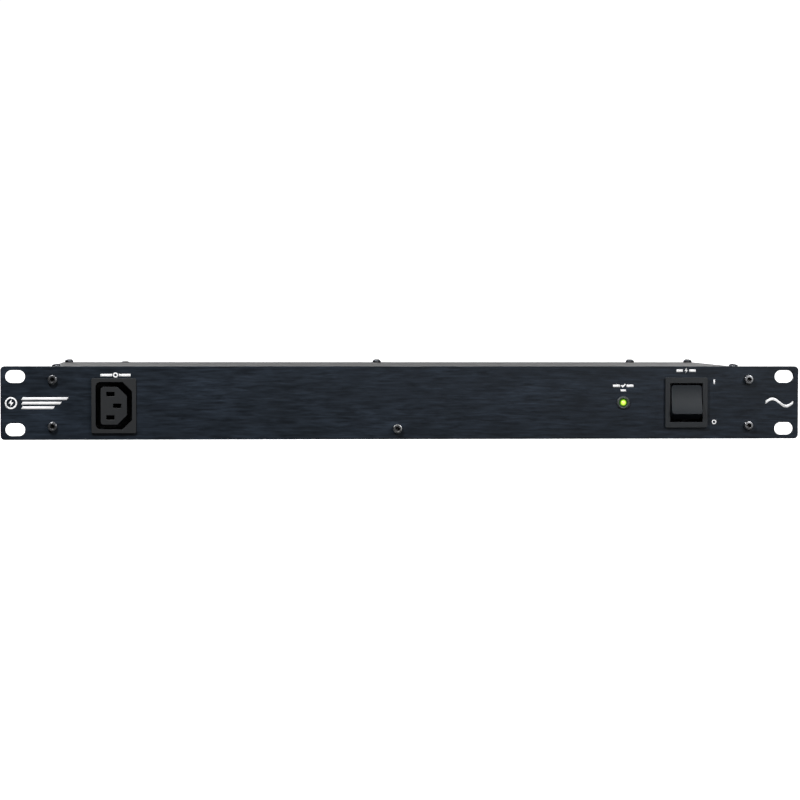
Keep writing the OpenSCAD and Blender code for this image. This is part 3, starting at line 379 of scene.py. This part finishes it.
def close_seams(obj):
    """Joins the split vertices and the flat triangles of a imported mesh, through modifiers only."""
    weld = obj.modifiers.new("close_seams", "WELD")
    weld.merge_threshold = 0.002 * MM
    flatten = obj.modifiers.new("join_flat_faces", "DECIMATE")
    flatten.decimate_type = "DISSOLVE"
    flatten.angle_limit = FLAT_ANGLE


def round_edges(obj, width):
    """Rounds the hard edges of a closed mesh."""
    bevel = obj.modifiers.new("round_edges", "BEVEL")
    bevel.width = width
    bevel.segments = 2
    bevel.limit_method = "ANGLE"
    bevel.angle_limit = SHARP_ANGLE
    bevel.harden_normals = True


def dress_cad_nodes():
    """Gives each CAD node its material, joined flat faces and, where they show, rounded edges."""
    for name, obj in NODES.items():
        obj.material_slots[0].material = FINISHES[SLOT_OF[name]]
        smooth_shading(obj.data)
        close_seams(obj)
        edge = OUTLET_EDGE if name.startswith("rear_outlet_") else EDGE_RADIUS.get(name)
        if edge:
            round_edges(obj, edge * MM)


# ---------------------------------------------------------------- mesh helpers


def islands(node):
    """The box of each separate solid of a node, as (lowest corner, highest corner)."""
    mesh = NODES[node].data
    keys = [tuple(round(part, 6) for part in vertex.co) for vertex in mesh.vertices]
    parent = {key: key for key in keys}

    def root(key):
        while parent[key] != key:
            parent[key] = parent[parent[key]]
            key = parent[key]
        return key

    for polygon in mesh.polygons:
        first = root(keys[polygon.vertices[0]])
        for index in polygon.vertices[1:]:
            parent[root(keys[index])] = first
    groups = {}
    for key in parent:
        groups.setdefault(root(key), []).append(key)
    boxes = []
    for points in groups.values():
        low = Vector(min(point[axis] for point in points) for axis in range(3))
        high = Vector(max(point[axis] for point in points) for axis in range(3))
        boxes.append((low, high))
    return sorted(boxes, key=lambda box: tuple(round(part, 5) for part in box[0]))


def lathe(points, segments, radius_of=None):
    """A closed mesh turned about Z from points (radius, z). radius_of varies the radius round the turn."""
    mesh = bmesh.new()
    rings = []
    for radius, height in points:
        if radius == 0:
            rings.append([mesh.verts.new((0, 0, height))])
            continue
        ring = []
        for step in range(segments):
            angle = TURN * step / segments
            here = radius_of(radius, angle, height) if radius_of else radius
            ring.append(mesh.verts.new((here * math.cos(angle), here * math.sin(angle), height)))
        rings.append(ring)
    for low, high in zip(rings, rings[1:]):
        for step in range(segments):
            after = (step + 1) % segments
            corners = [low[step % len(low)], low[after % len(low)]]
            corners += [high[after % len(high)], high[step % len(high)]]
            unique = list(dict.fromkeys(corners))
            if len(unique) > 2:
                mesh.faces.new(unique)
    for ring in (rings[0], rings[-1]):
        if len(ring) > 1:
            mesh.faces.new(ring)
    bmesh.ops.recalc_face_normals(mesh, faces=mesh.faces)
    return mesh


def prism(outline_low, outline_high, low, high):
    """A closed mesh between two outlines with the same number of points."""
    mesh = bmesh.new()
    bottom = [mesh.verts.new((x, y, low)) for x, y in outline_low]
    top = [mesh.verts.new((x, y, high)) for x, y in outline_high]
    count = len(bottom)
    for step in range(count):
        after = (step + 1) % count
        mesh.faces.new((bottom[step], bottom[after], top[after], top[step]))
    mesh.faces.new(bottom)
    mesh.faces.new(top)
    bmesh.ops.recalc_face_normals(mesh, faces=mesh.faces)
    return mesh


def polygon_points(radius, count):
    """The corners of a regular polygon about the origin, counterclockwise."""
    angles = [TURN * step / count for step in range(count)]
    return [(radius * math.cos(angle), radius * math.sin(angle)) for angle in angles]


def as_object(mesh, name):
    data = bpy.data.meshes.new(name)
    mesh.to_mesh(data)
    mesh.free()
    obj = bpy.data.objects.new(name, data)
    bpy.context.scene.collection.objects.link(obj)
    return obj


def boolean(base, tool, operation):
    """The bmesh of base with tool added or taken away."""
    body = as_object(base, "body_work")
    cutter = as_object(tool, "tool_work")
    step = body.modifiers.new("work", "BOOLEAN")
    step.operation = operation
    step.solver = "EXACT"
    step.object = cutter
    depsgraph = bpy.context.evaluated_depsgraph_get()
    result = bmesh.new()
    result.from_mesh(body.evaluated_get(depsgraph).to_mesh())
    for obj in (body, cutter):
        bpy.data.objects.remove(obj)
    return result


def placed_copies(mesh, places):
    """One bmesh holding a copy of mesh at each place."""
    plain = bpy.data.meshes.new("copy_work")
    mesh.to_mesh(plain)
    mesh.free()
    result = bmesh.new()
    for place in places:
        start = len(result.verts)
        result.from_mesh(plain)
        result.verts.ensure_lookup_table()
        bmesh.ops.transform(result, matrix=place, verts=result.verts[start:])
    bpy.data.meshes.remove(plain)
    return result


def show(mesh, name, node, edge=None, finish=None):
    """Puts a detailed piece in place of a CAD node, on the node's own body and slot."""
    obj = as_object(mesh, name)
    slot = SLOT_OF[node]
    obj.data.materials.append(finish or FINISHES[slot])
    obj.data.polygons.foreach_set("use_smooth", [True] * len(obj.data.polygons))
    obj.data.set_sharp_from_angle(angle=SHARP_ANGLE)
    if edge:
        round_edges(obj, edge)
    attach(obj, NODES[node]["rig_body"])
    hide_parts(node)
    return obj


# ---------------------------------------------------------------- front panel


PANEL_CORNER = 2.5 * MM
PANEL_EDGE = 0.15 * MM
PANEL_SHARP_ANGLE = math.radians(20)
OUTLET_CUTOUT = (25.0 * MM, 31.4 * MM)
SWITCH_CUTOUT = (22.4 * MM, 27.4 * MM)
CUTOUT_CORNER = 0.5 * MM
LAMP_HOLE = 3.25 * MM
SCREW_HOLE = 1.7 * MM
CORNER_STEPS = 14
# A slot's corner radius, just under half its width so that no two of its points meet.
SLOT_END_SHARE = 0.4999
# The least share of a margin that a sharp corner keeps, so that it isn't thrown far off.
LEAST_CORNER_SHARE = 0.3


def quarter_arc(centre, radius, corner):
    """Points of a quarter circle about a centre. Corner 0 is the upper right one, then counterclockwise."""
    points = []
    for step in range(CORNER_STEPS + 1):
        angle = math.radians(90 * corner + 90 * step / CORNER_STEPS)
        points.append((centre[0] + radius * math.cos(angle), centre[1] + radius * math.sin(angle)))
    return points


def centred_outline(centre, width, height, radius):
    """A rectangle with round corners across Y about a 3-D centre, counterclockwise in X and Z."""
    across = width / 2 - radius
    up = height / 2 - radius
    points = []
    for corner, (x, z) in enumerate([(across, up), (-across, up), (-across, -up), (across, -up)]):
        points += quarter_arc((centre.x + x, centre.z + z), radius, corner)
    return points


def inset(points, margin):
    """A counterclockwise outline moved inwards by a margin, each corner along its bisector."""
    moved = []
    count = len(points)
    for step in range(count):
        here = Vector(points[step])
        before = (here - Vector(points[step - 1])).normalized()
        after = (Vector(points[(step + 1) % count]) - here).normalized()
        bisector = Vector((-before.y - after.y, before.x + after.x)).normalized()
        share = max(LEAST_CORNER_SHARE, bisector.dot(Vector((-before.y, before.x))))
        moved.append(tuple(here + bisector * (margin / share)))
    return moved


def plate(outer, holes, front, back, edge):
    """A flat plate across Y with holes, its edges rounded by a small radius front and back."""
    mesh = bmesh.new()
    turned = edge * (1 - math.sqrt(0.5))
    profile = [(edge, front), (turned, front + turned), (0, front + edge)]
    profile += [(0, back - edge), (turned, back - turned), (edge, back)]
    faces = {front: [], back: []}
    for number, outline in enumerate([outer] + holes):
        side = 1 if number == 0 else -1
        rings = []
        for margin, depth in profile:
            ring = [mesh.verts.new((x, depth, z)) for x, z in inset(outline, side * margin)]
            rings.append(ring)
            if depth in faces:
                closed = zip(ring, ring[1:] + ring[:1])
                faces[depth] += [mesh.edges.new(pair) for pair in closed]
        for low, high in zip(rings, rings[1:]):
            for step in range(len(low)):
                after = (step + 1) % len(low)
                mesh.faces.new((low[step], low[after], high[after], high[step]))
    for edges in faces.values():
        bmesh.ops.triangle_fill(mesh, use_beauty=True, edges=edges)
    bmesh.ops.recalc_face_normals(mesh, faces=mesh.faces)
    return mesh


def round_outline(centre, radius):
    return [(centre.x + x, centre.z + z) for x, z in polygon_points(radius, HEAD_SEGMENTS)]


def middle_of(node):
    low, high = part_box(node)
    return (low + high) / 2


def make_front_panel():
    """The panel with true round slot ends and corners, and softly broken edges."""
    dims = next(mount["dims"] for mount in frame["record"]["mounts"] if mount["name"] == "rack_slots")
    low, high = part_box("front_panel")
    size = high - low
    outer = centred_outline(middle_of("front_panel"), size.x, size.z, PANEL_CORNER)
    slot_length = dims["slot_length_mm"] * MM
    slot_width = 2 * dims["hole_r_mm"] * MM
    slot_end = SLOT_END_SHARE * slot_width
    holes = []
    for side in (-0.5, 0.5):
        for level in (-0.5, 0.5):
            centre = Vector((side * dims["spacing_x_mm"] * MM, 0, level * dims["spacing_y_mm"] * MM))
            holes.append(centred_outline(centre, slot_length, slot_width, slot_end))
    holes.append(centred_outline(middle_of("front_outlet"), *OUTLET_CUTOUT, CUTOUT_CORNER))
    holes.append(centred_outline(middle_of("switch_housing"), *SWITCH_CUTOUT, CUTOUT_CORNER))
    holes.append(round_outline(lamp_axis, LAMP_HOLE))
    for node in ("panel_side_screws", "panel_lower_screw"):
        for screw_low, screw_high in islands(node):
            holes.append(round_outline((screw_low + screw_high) / 2, SCREW_HOLE))
    panel = show(plate(outer, holes, low.y, high.y, PANEL_EDGE), "front_panel_detail", "front_panel")
    panel.data.set_sharp_from_angle(angle=PANEL_SHARP_ANGLE)


# ---------------------------------------------------------------- screws

THREAD_RADIUS = 1.5 * MM
THREAD_DEPTH = 0.27 * MM
THREAD_PITCH = 0.5 * MM
THREAD_STEPS = 6
THREAD_SEGMENTS = 24
CAP_HEAD = 3 * MM
PAN_HEAD = 2.2 * MM
LOW_HEAD = 0.8 * MM
HEXAGON_RADIUS = 1.25 * MM / math.cos(TURN / 12)
HEXAGON_DEPTH = 2.3 * MM
DRILL_RADIUS = 1.1 * MM
DRILL_DEPTH = 0.4 * MM
# Each screw of a node is turned a little further than the one before, in degrees.
FIRST_SPIN = 11
SPIN_STEP = 37


def threaded_shank(length):
    """A threaded rod from z = 0 down to -length, its thread running out at both ends."""
    rings = int(length / THREAD_PITCH * THREAD_STEPS)
    heights = [-length * step / rings for step in range(rings + 1)]

    def thread(radius, angle, height):
        phase = (height / THREAD_PITCH + angle / TURN) % 1.0
        ridge = abs(2 * phase - 1)
        runout = min(1.0, (height + length) / THREAD_PITCH, -height / THREAD_PITCH)
        return radius - THREAD_DEPTH * (1 - ridge * max(0.0, runout))

    return lathe([(THREAD_RADIUS, height) for height in heights], THREAD_SEGMENTS, thread)


def cap_head(radius):
    """The head of a socket cap screw with a knurled side and a rounded rim, its bearing face at z = 0."""
    rim = 0.35 * MM
    rim_steps = 4
    foot = 0.15 * MM
    ridges = 40
    knurl_depth = 0.09 * MM
    knurl_low = 0.5 * MM
    knurl_high = CAP_HEAD - 0.75 * MM
    runout = 0.02 * MM

    def knurled(here, angle, height):
        in_band = knurl_low < height < knurl_high and here > 0.98 * radius
        wave = 0.5 - 0.5 * math.cos(ridges * angle)
        return here - knurl_depth * wave if in_band else here

    profile = [(0, 0), (radius - foot, 0), (radius, foot), (radius, knurl_low)]
    profile += [(radius, knurl_low + runout), (radius, (knurl_low + knurl_high) / 2)]
    profile += [(radius, knurl_high - runout), (radius, knurl_high)]
    for step in range(rim_steps + 1):
        angle = TURN / 4 * step / rim_steps
        profile.append((radius - rim * (1 - math.cos(angle)), CAP_HEAD - rim * (1 - math.sin(angle))))
    profile.append((0, CAP_HEAD))
    return lathe(profile, ridges * 4, knurled)


def cap_screw(radius, shank):
    """A socket cap screw: its head with a hexagon, a drilled centre and a countersunk mouth."""
    above = 0.1 * MM
    mouth_depth = 0.22 * MM
    hexagon = polygon_points(HEXAGON_RADIUS, 6)
    floor = CAP_HEAD - HEXAGON_DEPTH
    overlap = 0.02 * MM
    drill = [(0, floor - DRILL_DEPTH), (DRILL_RADIUS, floor + overlap), (0, floor + 2 * overlap)]
    mouth = [(0, CAP_HEAD - mouth_depth), (HEXAGON_RADIUS - 0.12 * MM, CAP_HEAD - mouth_depth)]
    mouth += [(HEXAGON_RADIUS + 0.2 * MM, CAP_HEAD + above), (0, CAP_HEAD + above)]
    head = boolean(cap_head(radius), prism(hexagon, hexagon, floor, CAP_HEAD + above), "DIFFERENCE")
    head = boolean(head, lathe(drill, 32), "DIFFERENCE")
    head = boolean(head, lathe(mouth, HEAD_SEGMENTS), "DIFFERENCE")
    return boolean(head, threaded_shank(shank), "UNION")


def pan_head(radius, height):
    """A domed head, its bearing face at z = 0."""
    foot = 0.1 * MM
    straight = 0.32 * height
    fullness = 0.7
    steps = 9
    profile = [(0, 0), (radius - foot, 0), (radius, foot), (radius, straight)]
    for step in range(1, steps):
        angle = TURN / 4 * step / steps
        dome = straight + (height - straight) * math.sin(angle)
        profile.append((radius * math.cos(angle) ** fullness, dome))
    profile.append((0, height))
    return lathe(profile, HEAD_SEGMENTS)


def rectangle(half_length, half_width):
    return [
        (-half_length, -half_width), (half_length, -half_width),
        (half_length, half_width), (-half_length, half_width),
    ]


def pan_screw(radius, height, shank):
    """A pan head screw with a tapered cross recess."""
    head = pan_head(radius, height)
    floor = 0.3 * height
    top = height + 0.2 * MM
    for turn in range(2):
        below = rectangle(0.3 * radius, 0.12 * radius)
        above = rectangle(0.6 * radius, 0.16 * radius)
        blade = prism(below, above, floor, top)
        bmesh.ops.rotate(blade, verts=blade.verts, matrix=Matrix.Rotation(turn * TURN / 4, 3, "Z"))
        head = boolean(head, blade, "DIFFERENCE")
    bowl = [(0, 0.8 * floor), (0.3 * radius, floor + 0.25 * MM), (0.4 * radius, top), (0, top)]
    head = boolean(head, lathe(bowl, 24), "DIFFERENCE")
    return boolean(head, threaded_shank(shank), "UNION")


# How a screw drawn with its head up is turned to point its head along an axis.
HEAD_UP = Matrix.Identity(4)
HEAD_FORWARD = Matrix.Rotation(TURN / 4, 4, "X")
HEAD_BACK = Matrix.Rotation(-TURN / 4, 4, "X")


def screw_places(node, head_height):
    """A transform for each screw of a node: where its bearing face is and which way its head points."""
    middle = (cad_box[0] + cad_box[1]) / 2
    places = []
    for index, (low, high) in enumerate(islands(node)):
        centre = (low + high) / 2
        size = high - low
        spin = Matrix.Rotation(math.radians(FIRST_SPIN + SPIN_STEP * index), 4, "Z")
        if size.z > size.y:
            place = Matrix.Translation((centre.x, centre.y, high.z - head_height)) @ HEAD_UP
        elif centre.y < middle.y:
            place = Matrix.Translation((centre.x, low.y + head_height, centre.z)) @ HEAD_FORWARD
        else:
            place = Matrix.Translation((centre.x, high.y - head_height, centre.z)) @ HEAD_BACK
        places.append(place @ spin)
    return places


def first_screw(node, head_height):
    """The head radius and the shank length of a node's screws, from the box of the first one."""
    low, high = islands(node)[0]
    size = sorted(high - low)
    return size[0] / 2, size[2] - head_height


def make_screws():
    """The socket screws of the panel and the cross-recessed screws of the chassis and the board."""
    # Painted highlight: the panel's socket screws take a much lighter copy of the black oxide, so that
    # their rims read brighter than the other black screws.
    handling_and_sheen = plated("black_oxide_painted_sheen", (0.4, 0.405, 0.42), 0.27, recess=RECESS_REACH)
    finishes = {"panel_side_screws": handling_and_sheen, "panel_lower_screw": FINISHES["screw_bright"]}
    for node, finish in finishes.items():
        screw = cap_screw(*first_screw(node, CAP_HEAD))
        show(placed_copies(screw, screw_places(node, CAP_HEAD)), node + "_detail", node, finish=finish)
    heads = {"chassis_screws": PAN_HEAD, "cover_low_head_screw": LOW_HEAD, "board_screws": PAN_HEAD}
    for node, head in heads.items():
        radius, shank = first_screw(node, head)
        screw = pan_screw(radius, head, shank)
        show(placed_copies(screw, screw_places(node, head)), node + "_detail", node)


# ---------------------------------------------------------------- rocker

ROCKER_CORNER = 1.7 * MM
# The rounding asked for. The modifier holds it to less, because the corners' facets are narrow.
ROCKER_EDGE = 0.35 * MM
# The rocker's corner edges lie further than these from its middle, run mostly along Y and are this long.
CORNER_X = 9 * MM
CORNER_Z = 8 * MM
CORNER_ALONG_Y = 0.8
CORNER_LENGTH = 1 * MM


def is_corner(edge, middle):
    """True for the corner edges at the two ends of the rocker, which run into the switch."""
    first, second = (vertex.co for vertex in edge.verts)
    along = second - first
    place = (first + second) / 2
    far_out = abs(place.x - middle.x) > CORNER_X and abs(place.z) > CORNER_Z
    return far_out and abs(along.normalized().y) > CORNER_ALONG_Y and along.length > CORNER_LENGTH


def make_rocker():
    """The rocker with well rounded corners and finely broken edges."""
    rocker = bmesh.new()
    rocker.from_mesh(NODES["switch_rocker"].data)
    bmesh.ops.remove_doubles(rocker, verts=rocker.verts, dist=0.002 * MM)
    bmesh.ops.dissolve_limit(rocker, angle_limit=FLAT_ANGLE, verts=rocker.verts, edges=rocker.edges)
    middle = middle_of("switch_rocker")
    corners = [edge for edge in rocker.edges if is_corner(edge, middle)]
    bmesh.ops.bevel(rocker, geom=corners, offset=ROCKER_CORNER, segments=7, profile=0.5, affect="EDGES")
    show(rocker, "switch_rocker_detail", "switch_rocker", ROCKER_EDGE)


# ---------------------------------------------------------------- lamp


def make_lamp():
    """The lamp's lens: a smooth dome on a straight skirt with its foot flange."""
    low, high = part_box("lamp")
    axis = (low + high) / 2
    skirt = high.y - low.y
    dome_steps = 12
    flange = 1.05 * MM
    foot = (high.x - low.x) / 2
    profile = [(0, 0), (foot, 0), (foot, flange), (lamp_radius, flange)]
    for step in range(dome_steps + 1):
        angle = TURN / 4 * step / dome_steps
        profile.append((lamp_radius * math.cos(angle), skirt - lamp_radius * (1 - math.sin(angle))))
    profile[-1] = (0, skirt)
    lens = lathe(profile, HEAD_SEGMENTS)
    place = Matrix.Translation((axis.x, high.y, axis.z)) @ HEAD_FORWARD
    bmesh.ops.transform(lens, matrix=place, verts=lens.verts)
    show(lens, "lamp_lens_detail", "lamp")


# ---------------------------------------------------------------- stage, lights and camera


STAGE_RADIUS = 4.0
STAGE_HEIGHT = 3.0
STAGE_BEND = 1.5
STAGE_BEND_STEPS = 12
STAGE_SEGMENTS = 96


def make_stage():
    """A pale floor that bends up into a round backdrop and a flat ceiling. Only the camera sees it."""
    floor_z = cad_box[0].z
    flat = STAGE_RADIUS - STAGE_BEND
    profile = [(0, floor_z), (flat, floor_z)]
    for step in range(1, STAGE_BEND_STEPS + 1):
        angle = TURN / 4 * step / STAGE_BEND_STEPS
        height = STAGE_BEND * (1 - math.cos(angle))
        profile.append((flat + STAGE_BEND * math.sin(angle), floor_z + height))
    profile.append((STAGE_RADIUS, floor_z + STAGE_HEIGHT))
    floor = as_object(lathe(profile, STAGE_SEGMENTS), "floor")
    floor.data.polygons.foreach_set("use_smooth", [True] * len(floor.data.polygons))
    pale = new_material("pale_floor", (0.8, 0.8, 0.8), 0.8, specular=0.1)
    shader_input(pale, "Emission Color").default_value = (1, 1, 1, 1)
    shader_input(pale, "Emission Strength").default_value = 1.0
    floor.data.materials.append(pale)
    floor.visible_diffuse = False
    floor.visible_glossy = False
    floor.visible_shadow = False


# Each light: where it is, the point it faces, its width and height, and its power in watts.
LIGHTS = {
    "overhead": ((0, 0.1, 1.5), (0, 0, 0), (1.8, 0.8), 9),
    "left_key": ((-0.3, -0.5, 0.46), (-0.2, 0, 0), (0.05, 0.05), 3.6),
    "right_key": ((0.45, -0.62, 0.36), (0.14, 0, 0), (0.25, 0.25), 2.5),
    "front_sheen": ((0.6, -1.6, 0.25), (0.15, 0, 0), (0.4, 0.4), 1.5),
    "rear": ((-0.6, 2.6, 0.22), (0, 0.2, 0), (4.0, 0.44), 16),
    "rear_left": ((-0.7, 1.1, 0.9), (-0.1, 0.2, 0), (0.5, 0.5), 9),
    "rear_right": ((0.8, 1.2, 0.7), (0.1, 0.2, 0), (0.5, 0.5), 9),
}
SKY_COLOUR = (0.88, 0.94, 1.0, 1.0)
SKY_STRENGTH = 0.04


def soft_light(name, place, target, size, power):
    """An area light at a place, turned to face a target."""
    data = bpy.data.lights.new(name, "AREA")
    data.shape = "RECTANGLE"
    data.size, data.size_y = size
    data.energy = power
    obj = bpy.data.objects.new(name, data)
    bpy.context.scene.collection.objects.link(obj)
    obj.location = place
    obj.rotation_euler = (Vector(target) - Vector(place)).to_track_quat("-Z", "Y").to_euler()


def make_lights():
    """A faint even sky and the soft studio lights."""
    world = bpy.data.worlds.new("studio")
    world.use_nodes = True
    background = world.node_tree.nodes["Background"]
    background.inputs["Color"].default_value = SKY_COLOUR
    background.inputs["Strength"].default_value = SKY_STRENGTH
    bpy.context.scene.world = world
    for name, settings in LIGHTS.items():
        soft_light(name, *settings)


# The camera's place in metres, its angles in degrees, its lens in millimetres and how far it sees.
CAMERA_PLACE = (-0.1227, -1.5586, 0.0547)
CAMERA_TILT = -1.946
CAMERA_ROLL = -0.1
CAMERA_TURN = -4.419
LENS = 116.5
FARTHEST = 60


def make_camera():
    """The photograph's view: a long lens, a little to the left and just above the panel."""
    data = bpy.data.cameras.new("camera")
    data.lens = LENS
    data.sensor_width = 36.0
    data.clip_end = FARTHEST
    obj = bpy.data.objects.new("camera", data)
    bpy.context.scene.collection.objects.link(obj)
    obj.location = CAMERA_PLACE
    obj.rotation_euler = [math.radians(angle) for angle in (90 + CAMERA_TILT, CAMERA_ROLL, CAMERA_TURN)]
    bpy.context.scene.camera = obj


# ---------------------------------------------------------------- the scene

bpy.context.scene.view_settings.view_transform = "Standard"
make_camera()
dress_cad_nodes()
make_front_panel()
make_screws()
make_rocker()
make_lamp()
make_stage()
make_lights()
